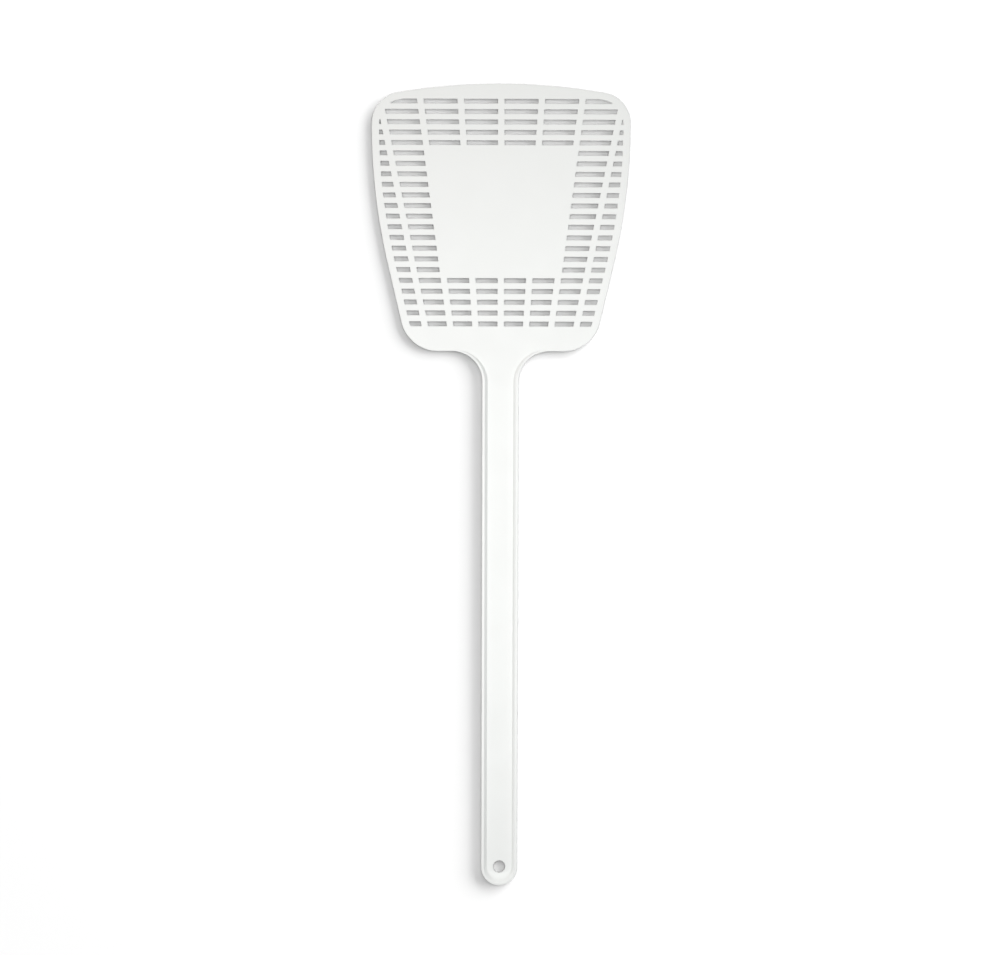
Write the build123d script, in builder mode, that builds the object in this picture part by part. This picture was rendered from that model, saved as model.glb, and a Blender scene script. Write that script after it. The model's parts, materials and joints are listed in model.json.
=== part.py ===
from build123d import *

import os
from math import asin, cos, degrees, radians, sin, sqrt, tan

# A fly swatter moulded in one shot of white polypropylene: a thin slotted blade with a plain panel in
# its middle, and a long handle with an I-shaped section whose two edge rails fan out into the blade.
# The blade lies flat with its face up. +Y runs from the handle to the blade, +Z out of the face, and
# the origin is under the middle of the whole length, on the surface that the rails' backs lie on.
# The moulding is drawn region by region, and neighbouring regions meet face to face inside solid
# plastic: half way across a bar, along the middle of a rib, or through the plain border.

os.makedirs("parts", exist_ok=True)

# ---- driving dimensions, millimetres and degrees -------------------------------------------------

# whole swatter
LENGTH = 412.75
HEAD_WIDTH = 133.4
HEAD_HEIGHT = 137.9
RAIL_DEPTH = 5.2
SHEET = 2.0

# outline of the blade
CROWN_RADIUS = 313.0
SHOULDER_RADIUS = 16.2
SIDE_RADIUS = 314.0
SIDE_LEAN = 13.3
HEEL_RADIUS = 19.3
NECK_RADIUS = 15.6

# slotted lattice
ROWS = 22
TOP_ROWS = 5
BOTTOM_ROWS = 5
FIRST_ROW_DROP = 9.2
ROW_PITCH = 5.311
ROW_PITCH_GAIN = 0.00707
SLOT_HEIGHT = 3.1
SLOT_CORNER = 0.4
RIB_WIDTH = 2.7
RIBS_EACH_SIDE = 3
PANEL_RIB = 2
FAN_DROP = 318.0
FAN_STEP = 0.06745
BORDER = 3.5
EDGE_STRIP = 2.0
SEAM_MARGIN = 1.0
FIRST_EDGE_SLOT_ROW = 2

# handle
HANDLE_WIDTH_NECK = 18.9
HANDLE_WIDTH_END = 18.5
CREST_WIDTH = 1.5
RAIL_WIDTH = 3.0
NECK_RAIL_END_WIDTH = 2.0
NECK_ROOT_HEIGHT = 4.0
HOLE_RADIUS = 3.2
HOLE_FROM_END = 9.7
TAB_LENGTH = 21.0

# ---- levels and points that follow from them -----------------------------------------------------

TOP = LENGTH / 2
HEAD_BOTTOM = TOP - HEAD_HEIGHT
HALF_HEAD = HEAD_WIDTH / 2
SHEET_LOW = (RAIL_DEPTH - SHEET) / 2
SHEET_HIGH = SHEET_LOW + SHEET
SHEET_PLANE = Plane.XY.offset(SHEET_LOW)
LEAN = radians(SIDE_LEAN)

CROWN_CENTRE = Vector(0, TOP - CROWN_RADIUS)
SHOULDER_X = HALF_HEAD - SHOULDER_RADIUS
CROWN_HALF_ANGLE = asin(SHOULDER_X / (CROWN_RADIUS - SHOULDER_RADIUS))
SHOULDER_CENTRE = CROWN_CENTRE + Vector(SHOULDER_X, SHOULDER_X / tan(CROWN_HALF_ANGLE))
SIDE_CENTRE = Vector(HALF_HEAD - SIDE_RADIUS, SHOULDER_CENTRE.Y)
SIDE_END = SIDE_CENTRE + Vector(cos(LEAN), -sin(LEAN)) * SIDE_RADIUS
HEEL_RUN = (SIDE_END.Y + HEEL_RADIUS * sin(LEAN) - HEAD_BOTTOM - HEEL_RADIUS) / cos(LEAN)
HEEL_CENTRE = Vector(
    SIDE_END.X - HEEL_RADIUS * cos(LEAN) - HEEL_RUN * sin(LEAN), HEAD_BOTTOM + HEEL_RADIUS
)

FAN_Y = TOP - FAN_DROP
NECK_Y = HEAD_BOTTOM - NECK_RADIUS
NECK_FOOT_X = HANDLE_WIDTH_NECK / 2 + NECK_RADIUS
NECK_ROOT_TOP = HEAD_BOTTOM + NECK_ROOT_HEIGHT
END_RADIUS = HANDLE_WIDTH_END / 2
END_Y = END_RADIUS - TOP
TAB_TOP = TAB_LENGTH - TOP
HOLE_Y = HOLE_FROM_END - TOP


def row_y(row):
    """Height of the middle of a row of slots: the rows stand slightly further apart lower down."""
    return TOP - FIRST_ROW_DROP - row * (ROW_PITCH + ROW_PITCH_GAIN * row)


def rib_x(rib, y):
    """Middle of a rib at height y. All the ribs fan out from one point low on the handle."""
    return rib * FAN_STEP * (y - FAN_Y)


def half_width_at(y):
    """Half the width of the handle at height y, on its slight taper."""
    share = (NECK_Y - y) / (NECK_Y - END_Y)
    return (HANDLE_WIDTH_NECK + (HANDLE_WIDTH_END - HANDLE_WIDTH_NECK) * share) / 2


TOP_SEAM = row_y(0) + SLOT_HEIGHT / 2 + SEAM_MARGIN
PANEL_TOP = (row_y(TOP_ROWS - 1) + row_y(TOP_ROWS)) / 2
PANEL_BOTTOM = (row_y(ROWS - BOTTOM_ROWS - 1) + row_y(ROWS - BOTTOM_ROWS)) / 2
BOTTOM_SEAM = row_y(ROWS - 1) - SLOT_HEIGHT / 2 - SEAM_MARGIN
SHOULDER_SEAM_X = sqrt((CROWN_RADIUS - EDGE_STRIP) ** 2 - (TOP_SEAM - CROWN_CENTRE.Y) ** 2)


def finish(builder, name):
    """Label a finished region and write it."""
    builder.part.label = name
    export_step(builder.part, f"parts/{name}.step")


def polygon(*points):
    """A face with straight sides through the given points."""
    with BuildSketch() as shape:
        with BuildLine():
            Polyline(*points, close=True)
        make_face()
    return shape.sketch


def head_face(inset):
    """The blade's outline, moved inwards by inset: every arc keeps its centre."""
    crown = degrees(CROWN_HALF_ANGLE)
    side_end = SIDE_CENTRE + Vector(cos(LEAN), -sin(LEAN)) * (SIDE_RADIUS - inset)
    heel_start = HEEL_CENTRE + Vector(cos(LEAN), -sin(LEAN)) * (HEEL_RADIUS - inset)
    heel_end = HEEL_CENTRE - Vector(0, HEEL_RADIUS - inset)
    with BuildSketch() as shape:
        with BuildLine():
            CenterArc(CROWN_CENTRE, CROWN_RADIUS - inset, 90 - crown, crown)
            CenterArc(SHOULDER_CENTRE, SHOULDER_RADIUS - inset, 0, 90 - crown)
            CenterArc(SIDE_CENTRE, SIDE_RADIUS - inset, -SIDE_LEAN, SIDE_LEAN)
            Line(side_end, heel_start)
            CenterArc(HEEL_CENTRE, HEEL_RADIUS - inset, -90, 90 - SIDE_LEAN)
            Line(heel_end, (0, heel_end.Y))
            mirror(about=Plane.YZ)
        make_face()
    return shape.sketch


OUTLINE = head_face(0)
INNER_OUTLINE = head_face(EDGE_STRIP)
SLOT_LIMIT = head_face(BORDER)


# ---- slots ---------------------------------------------------------------------------------------


def slot(row, left_rib, right_rib):
    """One slot between two neighbouring ribs, or between the last rib and the plain border."""
    high = row_y(row) + SLOT_HEIGHT / 2
    low = row_y(row) - SLOT_HEIGHT / 2
    half_rib = RIB_WIDTH / 2
    near_border = max(abs(left_rib), abs(right_rib)) >= RIBS_EACH_SIDE
    with BuildSketch() as shape:
        add(
            polygon(
                (rib_x(left_rib, low) + half_rib, low),
                (rib_x(right_rib, low) - half_rib, low),
                (rib_x(right_rib, high) - half_rib, high),
                (rib_x(left_rib, high) + half_rib, high),
            )
        )
        if near_border:
            add(SLOT_LIMIT, mode=Mode.INTERSECT)
        # shrinking with sharp corners and growing back with round ones rounds every corner alike
        offset(amount=-SLOT_CORNER, kind=Kind.INTERSECTION, mode=Mode.REPLACE)
        offset(amount=SLOT_CORNER, kind=Kind.ARC, mode=Mode.REPLACE)
    return shape.face()


def slots(rows, ribs):
    """All the slots in a span of rows, each gap named by the rib on its left."""
    return [slot(row, rib, rib + 1) for row in rows for rib in ribs]


EDGE_GAP = RIBS_EACH_SIDE + 1
CORNER_ROWS = range(FIRST_EDGE_SLOT_ROW)
TOP_FULL_ROWS = range(FIRST_EDGE_SLOT_ROW, TOP_ROWS)
SIDE_ROWS = range(TOP_ROWS, ROWS - BOTTOM_ROWS)
BOTTOM_FULL_ROWS = range(ROWS - BOTTOM_ROWS, ROWS)
CORNER_GAPS = range(-RIBS_EACH_SIDE, RIBS_EACH_SIDE)
ALL_GAPS = range(-EDGE_GAP, EDGE_GAP)
LEFT_GAPS = range(-EDGE_GAP, -PANEL_RIB)
RIGHT_GAPS = range(PANEL_RIB, EDGE_GAP)


# ---- blade ---------------------------------------------------------------------------------------


def side_of_panel(side):
    """The stretch beside the panel, out to beyond the border, on side -1 or +1."""
    return polygon(
        (rib_x(side * PANEL_RIB, PANEL_TOP), PANEL_TOP),
        (side * HEAD_WIDTH, PANEL_TOP),
        (side * HEAD_WIDTH, PANEL_BOTTOM),
        (rib_x(side * PANEL_RIB, PANEL_BOTTOM), PANEL_BOTTOM),
    )


def level_slice(low, high):
    """A strip right across the blade, from height low to height high."""
    return polygon((-HEAD_WIDTH, low), (HEAD_WIDTH, low), (HEAD_WIDTH, high), (-HEAD_WIDTH, high))


with BuildPart() as blade_top_band:
    with BuildSketch(SHEET_PLANE):
        add(OUTLINE)
        add(
            polygon(
                (-SHOULDER_SEAM_X, TOP_SEAM),
                (SHOULDER_SEAM_X, TOP_SEAM),
                (SHOULDER_SEAM_X, LENGTH),
                (-SHOULDER_SEAM_X, LENGTH),
            ),
            mode=Mode.INTERSECT,
        )
    extrude(amount=SHEET)
finish(blade_top_band, "blade_top_band")

for side, name in ((-1, "blade_left_border"), (1, "blade_right_border")):
    with BuildPart() as blade_border:
        with BuildSketch(SHEET_PLANE):
            add(OUTLINE)
            add(INNER_OUTLINE, mode=Mode.SUBTRACT)
            add(
                polygon(
                    (side * SHOULDER_SEAM_X, LENGTH),
                    (side * HEAD_WIDTH, LENGTH),
                    (side * HEAD_WIDTH, BOTTOM_SEAM),
                    (side * HEEL_CENTRE.X, BOTTOM_SEAM),
                    (side * HEEL_CENTRE.X, TOP_SEAM),
                    (side * SHOULDER_SEAM_X, TOP_SEAM),
                ),
                mode=Mode.INTERSECT,
            )
        extrude(amount=SHEET)
    finish(blade_border, name)

with BuildPart() as top_lattice:
    with BuildSketch(SHEET_PLANE):
        add(INNER_OUTLINE)
        add(level_slice(PANEL_TOP, TOP_SEAM), mode=Mode.INTERSECT)
        add(slots(CORNER_ROWS, CORNER_GAPS), mode=Mode.SUBTRACT)
        add(slots(TOP_FULL_ROWS, ALL_GAPS), mode=Mode.SUBTRACT)
    extrude(amount=SHEET)
finish(top_lattice, "top_lattice")

for side, gaps, name in ((-1, LEFT_GAPS, "left_lattice"), (1, RIGHT_GAPS, "right_lattice")):
    with BuildPart() as side_lattice:
        with BuildSketch(SHEET_PLANE):
            add(INNER_OUTLINE)
            add(side_of_panel(side), mode=Mode.INTERSECT)
            add(slots(SIDE_ROWS, gaps), mode=Mode.SUBTRACT)
        extrude(amount=SHEET)
    finish(side_lattice, name)

with BuildPart() as imprint_panel:
    with BuildSketch(SHEET_PLANE):
        add(INNER_OUTLINE)
        add(level_slice(PANEL_BOTTOM, PANEL_TOP), mode=Mode.INTERSECT)
        add(side_of_panel(-1), mode=Mode.SUBTRACT)
        add(side_of_panel(1), mode=Mode.SUBTRACT)
    extrude(amount=SHEET)
finish(imprint_panel, "imprint_panel")

with BuildPart() as bottom_lattice:
    with BuildSketch(SHEET_PLANE):
        add(INNER_OUTLINE)
        add(level_slice(BOTTOM_SEAM, PANEL_BOTTOM), mode=Mode.INTERSECT)
        add(slots(BOTTOM_FULL_ROWS, ALL_GAPS), mode=Mode.SUBTRACT)
    extrude(amount=SHEET)
finish(bottom_lattice, "bottom_lattice")

with BuildPart() as blade_bottom_band:
    with BuildSketch(SHEET_PLANE):
        add(OUTLINE)
        add(level_slice(HEAD_BOTTOM, BOTTOM_SEAM), mode=Mode.INTERSECT)
        with Locations((0, HEAD_BOTTOM)):
            Rectangle(2 * NECK_FOOT_X, 2 * NECK_ROOT_HEIGHT, mode=Mode.SUBTRACT)
    extrude(amount=SHEET)
finish(blade_bottom_band, "blade_bottom_band")

# ---- neck ----------------------------------------------------------------------------------------

WEB_X_NECK = HANDLE_WIDTH_NECK / 2 - RAIL_WIDTH
WALL_DROP = SHEET_LOW
WALL_RUN = RAIL_WIDTH - CREST_WIDTH


def neck_rail_face(side):
    """A crescent that follows the neck's round corner and narrows from the handle to the blade."""
    foot = (side * WEB_X_NECK, NECK_Y)
    outer = (side * HANDLE_WIDTH_NECK / 2, NECK_Y)
    toe = (side * NECK_FOOT_X, HEAD_BOTTOM)
    inner_toe = (side * NECK_FOOT_X, HEAD_BOTTOM + NECK_RAIL_END_WIDTH)
    with BuildSketch() as shape:
        with BuildLine():
            TangentArc(outer, toe, tangent=(0, 1))
            Line(toe, inner_toe)
            TangentArc(foot, inner_toe, tangent=(0, 1))
            Line(foot, outer)
        make_face()
    return shape.sketch


def slope_inner_walls(rail, edges):
    """Slope a rail's inner wall from its narrow crest down to the web, front and back.

    The last two of the given edges are the wall's level ones, at the top and at the bottom."""
    for edge in edges[-2:]:
        crest_face = rail.faces().filter_by(Plane.XY).sort_by_distance(edge.center())[0]
        chamfer(edge, length=WALL_RUN, length2=WALL_DROP, reference=crest_face)


LEFT_CRESCENT = neck_rail_face(-1)
RIGHT_CRESCENT = neck_rail_face(1)

with BuildPart() as neck_web:
    with BuildSketch(SHEET_PLANE):
        with BuildLine():
            Line((0, NECK_Y), (WEB_X_NECK, NECK_Y))
            neck_curve = TangentArc(
                (WEB_X_NECK, NECK_Y), (NECK_FOOT_X, HEAD_BOTTOM + NECK_RAIL_END_WIDTH), tangent=(0, 1)
            )
            Polyline(neck_curve @ 1, (NECK_FOOT_X, NECK_ROOT_TOP), (0, NECK_ROOT_TOP))
            mirror(about=Plane.YZ)
        make_face()
    extrude(amount=SHEET)
finish(neck_web, "neck_web")

for crescent, name in ((LEFT_CRESCENT, "neck_left_rail"), (RIGHT_CRESCENT, "neck_right_rail")):
    with BuildPart() as neck_rail:
        with BuildSketch():
            add(crescent)
        extrude(amount=RAIL_DEPTH)
        slope_inner_walls(neck_rail, neck_rail.edges().filter_by(GeomType.CIRCLE).sort_by(Edge.radius))
        # seen from the side, the rail sinks evenly into the sheet as it reaches the blade
        with BuildSketch(Plane.YZ):
            with BuildLine():
                Polyline(
                    (NECK_Y, 0),
                    (HEAD_BOTTOM, SHEET_LOW),
                    (NECK_ROOT_TOP, SHEET_LOW),
                    (NECK_ROOT_TOP, SHEET_HIGH),
                    (HEAD_BOTTOM, SHEET_HIGH),
                    (NECK_Y, RAIL_DEPTH),
                    close=True,
                )
            make_face()
        extrude(amount=HEAD_WIDTH, both=True, mode=Mode.INTERSECT)
    finish(neck_rail, name)

# ---- handle --------------------------------------------------------------------------------------


with BuildPart() as handle_web:
    with BuildSketch(SHEET_PLANE):
        tab_half = half_width_at(TAB_TOP) - RAIL_WIDTH
        add(
            polygon(
                (-WEB_X_NECK, NECK_Y), (-tab_half, TAB_TOP), (tab_half, TAB_TOP), (WEB_X_NECK, NECK_Y)
            )
        )
    extrude(amount=SHEET)
finish(handle_web, "handle_web")

for side, name in ((-1, "handle_left_rail"), (1, "handle_right_rail")):
    with BuildPart() as handle_rail:
        with BuildSketch():
            add(
                polygon(
                    (side * HANDLE_WIDTH_NECK / 2, NECK_Y),
                    (side * END_RADIUS, END_Y),
                    (side * (END_RADIUS - RAIL_WIDTH), END_Y),
                    (side * WEB_X_NECK, NECK_Y),
                )
            )
        extrude(amount=RAIL_DEPTH)
        long_edges = handle_rail.edges().filter_by(lambda edge: edge.length > TAB_LENGTH)
        slope_inner_walls(handle_rail, long_edges.sort_by(lambda edge: -abs(edge.center().X)))
    finish(handle_rail, name)

with BuildPart() as handle_end_rail:
    with BuildSketch(Plane(origin=(0, END_Y, 0), x_dir=(1, 0, 0), z_dir=(0, -1, 0))):
        crest = END_RADIUS - CREST_WIDTH
        foot = END_RADIUS - RAIL_WIDTH
        add(
            polygon(
                (END_RADIUS, 0),
                (crest, 0),
                (foot, SHEET_LOW),
                (foot, SHEET_HIGH),
                (crest, RAIL_DEPTH),
                (END_RADIUS, RAIL_DEPTH),
            )
        )
    revolve(axis=Axis((0, END_Y, 0), (0, 0, -1)), revolution_arc=180)
finish(handle_end_rail, "handle_end_rail")

with BuildPart() as hang_tab:
    with BuildSketch(SHEET_PLANE):
        add(polygon((-tab_half, TAB_TOP), (-foot, END_Y), (foot, END_Y), (tab_half, TAB_TOP)))
        with Locations((0, END_Y)):
            Circle(foot)
        with Locations((0, HOLE_Y)):
            Circle(HOLE_RADIUS, mode=Mode.SUBTRACT)
    extrude(amount=SHEET)
finish(hang_tab, "hang_tab")
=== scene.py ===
# %% [markdown]
# # A moulded fly swatter
#
# The real swatter is a single shot of white plastic, most likely polypropylene: a thin slotted blade
# with a plain panel in its middle, and a long handle whose two edge rails fan out into the blade. The
# CAD model holds its sizes, cut into named regions. Here each region gets a finer surface with the
# rounded edges, drafted walls and mould marks that a moulding has, and the plastic gets its finish.
#
# First the imported model is loaded as a fixed frame, and its box is kept, because sizes are read from it.

# %% Load the frame
import json
from math import asin, cos, pi, radians, sin

import bmesh
import bpy
import numpy as np
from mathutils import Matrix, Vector
from mathutils.geometry import delaunay_2d_cdt


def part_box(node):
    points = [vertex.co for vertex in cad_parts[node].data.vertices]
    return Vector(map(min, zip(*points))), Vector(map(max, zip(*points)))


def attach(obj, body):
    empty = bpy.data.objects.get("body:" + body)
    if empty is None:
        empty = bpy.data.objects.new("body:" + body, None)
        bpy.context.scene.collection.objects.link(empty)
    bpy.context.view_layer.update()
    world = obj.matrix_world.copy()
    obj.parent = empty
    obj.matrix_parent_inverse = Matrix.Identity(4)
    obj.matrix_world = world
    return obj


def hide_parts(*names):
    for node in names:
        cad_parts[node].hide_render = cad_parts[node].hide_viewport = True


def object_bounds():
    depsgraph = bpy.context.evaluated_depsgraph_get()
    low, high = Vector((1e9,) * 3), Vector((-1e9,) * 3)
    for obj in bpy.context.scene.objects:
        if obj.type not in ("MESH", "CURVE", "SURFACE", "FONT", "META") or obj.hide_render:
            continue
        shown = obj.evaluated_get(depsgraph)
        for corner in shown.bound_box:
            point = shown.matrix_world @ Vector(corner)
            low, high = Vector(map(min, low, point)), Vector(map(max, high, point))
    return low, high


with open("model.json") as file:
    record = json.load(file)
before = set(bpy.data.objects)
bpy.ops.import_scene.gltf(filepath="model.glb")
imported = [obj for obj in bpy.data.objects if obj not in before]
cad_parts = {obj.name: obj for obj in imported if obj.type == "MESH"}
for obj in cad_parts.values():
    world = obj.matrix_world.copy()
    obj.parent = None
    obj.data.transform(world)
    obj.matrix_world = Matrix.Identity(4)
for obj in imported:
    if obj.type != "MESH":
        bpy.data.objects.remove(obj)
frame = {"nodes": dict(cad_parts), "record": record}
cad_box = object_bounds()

print("nodes:", len(frame["nodes"]), "box:", [tuple(round(v, 4) for v in corner) for corner in cad_box])

# %% [markdown]
# ## Sizes
#
# What can be read off the frame's boxes is read there: levels, seams between regions, the handle's
# widths and the hole. The arcs of the blade's outline, the layout of its slots, and sizes too fine
# for the CAD model, such as edge rounding and draft, are given in millimetres where they are needed.

# %% Measure the frame
MM = 0.001


def low(node, axis):
    """Lowest coordinate of a CAD node along an axis, 0 to 2."""
    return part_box(node)[0][axis]


def high(node, axis):
    """Highest coordinate of a CAD node along an axis, 0 to 2."""
    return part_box(node)[1][axis]


top = cad_box[1][1]
half_head = cad_box[1][0]
sheet_low = low("imprint_panel", 2)
sheet_high = high("imprint_panel", 2)
middle_z = (sheet_low + sheet_high) / 2
sheet_half = (sheet_high - sheet_low) / 2
full_rise = cad_box[1][2] - sheet_high

head_bottom = low("blade_bottom_band", 1)
top_seam = high("top_lattice", 1)
panel_top = high("imprint_panel", 1)
panel_bottom = low("imprint_panel", 1)
bottom_seam = low("bottom_lattice", 1)
neck_y = low("neck_web", 1)
neck_foot_x = high("neck_web", 0)
neck_root_top = high("neck_web", 1)
handle_half_neck = high("handle_right_rail", 0)
web_half_neck = high("handle_web", 0)
end_y = low("handle_right_rail", 1)
end_radius = high("handle_end_rail", 0)
tab_top = high("hang_tab", 1)
hole = next(m for m in frame["record"]["mounts"] if m["kind"] == "bore")
hole_centre = np.array(hole["pos_m"][:2])
hole_radius = hole["dims"]["r_mm"] * MM
rail_width = handle_half_neck - web_half_neck
neck_radius = head_bottom - neck_y
print("sheet from", round(sheet_low, 5), "to", round(sheet_high, 5), "rail width:", round(rail_width, 5))

# %% [markdown]
# ## The blade's outline
#
# The head is a trapezium with soft corners: a shallow crown, round shoulders, slightly bowed sides,
# a short straight run and round heels. Such an outline is easiest to hold as a list of arcs that
# share their tangents, because then a point is found from the direction in which the edge faces,
# and moving the whole outline inwards only shortens each radius. The straight run comes for free:
# its two ends face the same way but belong to different arcs.

# %% Outline arcs
JOIN_DISTANCE = 2e-7
CROWN_RADIUS = 313.0 * MM
SHOULDER_RADIUS = 16.2 * MM
SIDE_RADIUS = 314.0 * MM
SIDE_LEAN = radians(13.3)
HEEL_RADIUS = 19.3 * MM

shoulder_x = half_head - SHOULDER_RADIUS
crown_angle = asin(shoulder_x / (CROWN_RADIUS - SHOULDER_RADIUS))
crown_centre = np.array([0, top - CROWN_RADIUS])
shoulder_centre = crown_centre + (CROWN_RADIUS - SHOULDER_RADIUS) * np.array(
    [sin(crown_angle), cos(crown_angle)]
)
side_centre = np.array([half_head - SIDE_RADIUS, shoulder_centre[1]])
side_facing = pi / 2 + SIDE_LEAN
side_end = side_centre + SIDE_RADIUS * np.array([cos(SIDE_LEAN), -sin(SIDE_LEAN)])
heel_y = head_bottom + HEEL_RADIUS
heel_run = (side_end[1] + HEEL_RADIUS * sin(SIDE_LEAN) - heel_y) / cos(SIDE_LEAN)
heel_x = side_end[0] - HEEL_RADIUS * cos(SIDE_LEAN) - heel_run * sin(SIDE_LEAN)
heel_centre = np.array([heel_x, heel_y])

# Each arc is its centre, its radius, the facings where it begins and ends, and its number of points.
OUTLINE_ARCS = (
    (crown_centre, CROWN_RADIUS, 0, crown_angle, 28),
    (shoulder_centre, SHOULDER_RADIUS, crown_angle, pi / 2, 20),
    (side_centre, SIDE_RADIUS, pi / 2, side_facing, 28),
    (heel_centre, HEEL_RADIUS, side_facing, pi, 20),
)


def outline(first, last):
    """The right half's edge between two facings, measured clockwise from +Y.

    A point is its arc's centre plus the radius times (sine, cosine) of its facing. Returns the
    points and their outward normals, so that a point moved inwards is point minus inset times normal."""
    points = []
    normals = []
    for centre, radius, begin, end, steps in OUTLINE_ARCS:
        if begin < last and end > first:
            facing = np.linspace(max(begin, first), min(end, last), steps)
            normal = np.stack([np.sin(facing), np.cos(facing)], axis=1)
            points.append(centre + radius * normal)
            normals.append(normal)
    points = np.concatenate(points)
    normals = np.concatenate(normals)
    apart = np.linalg.norm(np.diff(points, axis=0), axis=1) > JOIN_DISTANCE
    keep = np.concatenate([[True], apart])
    return points[keep], normals[keep]


def mirrored(points):
    """The same points on the left, in reverse order, so that a loop keeps its direction."""
    return points[::-1] * np.array([-1, 1])


right_edge, right_facing = outline(0, pi)
print("outline points in the right half:", len(right_edge), "widest:", round(right_edge[:, 0].max() * 2, 5))

# %% [markdown]
# ## One section for every free edge
#
# The blade's rim and the handle's rails are the same idea: a moulded edge with a rounded corner, a
# touch of draft and the fine witness line where the two mould halves met. A rail only rises further
# before it turns down. So one section serves both, with two parameters: how wide it is and how far
# it rises above the sheet. With no rise it is the blade's plain rim, and along the neck the rise
# fades from one to the other, as the rails do on the real handle.

# %% Edge section
CREST_WIDTH = 1.5 * MM
WALL_RUN = 1.3 * MM
FOOT_FILLET = 0.35 * MM
BROW_ROUNDING = 0.2 * MM
EDGE_ROUNDING = 0.18 * MM
DRAFT = 0.2 * MM
WITNESS_PROUD = 0.03 * MM
WITNESS_HALF = 0.05 * MM
LEAST_LENGTH = 1e-9


def rounded(before, corner, after, radius, steps):
    """Replaces corners by arcs: an arc leaves the first leg where it is radius * tan(turn / 2)
    short of the corner, and its points are start + radius * (sin a * leg + (1 - cos a) * side)."""
    leg = corner - before
    leg = leg / np.linalg.norm(leg, axis=-1, keepdims=True)
    onward = after - corner
    onward = onward / np.linalg.norm(onward, axis=-1, keepdims=True)
    cosine = np.clip((leg * onward).sum(axis=-1, keepdims=True), -1, 1)
    turn = np.arccos(cosine)
    side = onward - leg * cosine
    side = side / np.maximum(np.linalg.norm(side, axis=-1, keepdims=True), LEAST_LENGTH)
    start = corner - leg * radius * np.tan(turn / 2)
    angle = np.linspace(0, 1, steps)[:, None] * turn[..., None, :]
    sweep = np.sin(angle) * leg[..., None, :] + (1 - np.cos(angle)) * side[..., None, :]
    return start[..., None, :] + radius * sweep


def edge_section(width, rise, crest_width):
    """Insets and heights across an edge, from the inner seam on top, over the crest and down past
    the witness line to the inner seam below. All three are arrays, one value per station.

    The upper half runs through five corners: seam, foot of the wall, top of the wall, outer edge,
    witness line. The lower half is its mirror image in the middle plane."""
    crest = sheet_half + rise

    def corner(inset, height):
        return np.stack(np.broadcast_arrays(inset, height, width)[:2], axis=-1)

    seam = corner(width, sheet_half)
    foot = corner(crest_width + WALL_RUN * rise / full_rise, sheet_half)
    wall_top = corner(crest_width - BROW_ROUNDING / 2, crest)
    outer = corner(DRAFT, crest)
    witness = corner(WITNESS_PROUD, 2 * WITNESS_HALF)
    lip = corner(0, WITNESS_HALF)
    upper = np.concatenate(
        [
            seam[:, None],
            rounded(seam, foot, wall_top, FOOT_FILLET, 4),
            rounded(foot, wall_top, outer, BROW_ROUNDING, 4),
            rounded(wall_top, outer, witness, EDGE_ROUNDING, 6),
            witness[:, None],
            lip[:, None],
        ],
        axis=1,
    )
    lower = upper[:, ::-1] * np.array([1, -1])
    both = np.concatenate([upper, lower], axis=1)
    return both[..., 0], both[..., 1]


one_rail = [np.array([value]) for value in (rail_width, full_rise, CREST_WIDTH)]
print("points round an edge section:", edge_section(*one_rail)[0].shape[1])

# %% [markdown]
# ## Patches and shells
#
# A region's skin is put together from patches: strips that carry a section along a path, and flats
# filled between closed loops. Filling with a constrained triangulation is the plain way to leave a
# hundred slots open in a flat face. The patches of a region share their border points, so merging
# points that lie together closes the skin, and a count of open edges proves it.

# %% Patch builders
FILL_TOLERANCE = 1e-6


def grid_faces(rows, columns, closed=False):
    """Quads of a grid whose points are numbered row by row. Closed joins the last column to the
    first: the corners of a cell are (r, c), (r, c + 1), (r + 1, c + 1), (r + 1, c)."""
    across = columns if closed else columns - 1
    row, column = np.meshgrid(np.arange(rows - 1), np.arange(across), indexing="ij")
    beside = (column + 1) % columns
    quads = [row * columns + column, row * columns + beside]
    quads += [(row + 1) * columns + beside, (row + 1) * columns + column]
    return np.stack(quads, axis=-1).reshape(-1, 4)


def carry(points, normals, width, rise, crest_width=CREST_WIDTH):
    """An edge section carried along a path: each section point lies at the path's point minus the
    inset times the outward normal, at the section's height above the middle plane."""
    stations = [np.broadcast_to(value, len(points)).astype(float) for value in (width, rise, crest_width)]
    insets, heights = edge_section(*stations)
    plan = points[:, None] - insets[..., None] * normals[:, None]
    solid = np.concatenate([plan, middle_z + heights[..., None]], axis=-1)
    return solid.reshape(-1, 3), grid_faces(*insets.shape).tolist()


def seam_wall(points):
    """An upright wall through the sheet under an open line of points."""
    levels = np.array([sheet_high, sheet_low])
    plan = np.repeat(points[:, None], 2, axis=1)
    heights = np.broadcast_to(levels[:, None], (len(points), 2, 1))
    return np.concatenate([plan, heights], axis=-1).reshape(-1, 3), grid_faces(len(points), 2).tolist()


def section_cap(point, normal, width, rise, crest_width=CREST_WIDTH):
    """The flat end of a carried section, as one face."""
    vertices, _ = carry(np.array([point]), np.array([normal]), width, rise, crest_width)
    return vertices, [list(range(len(vertices)))]


def anticlockwise(loop):
    """The loop, turned round if its area, half the sum of x * next y - y * next x, is negative."""
    onward = np.roll(loop, -1, axis=0)
    area = (loop[:, 0] * onward[:, 1] - loop[:, 1] * onward[:, 0]).sum() / 2
    return loop if area > 0 else loop[::-1]


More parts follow.
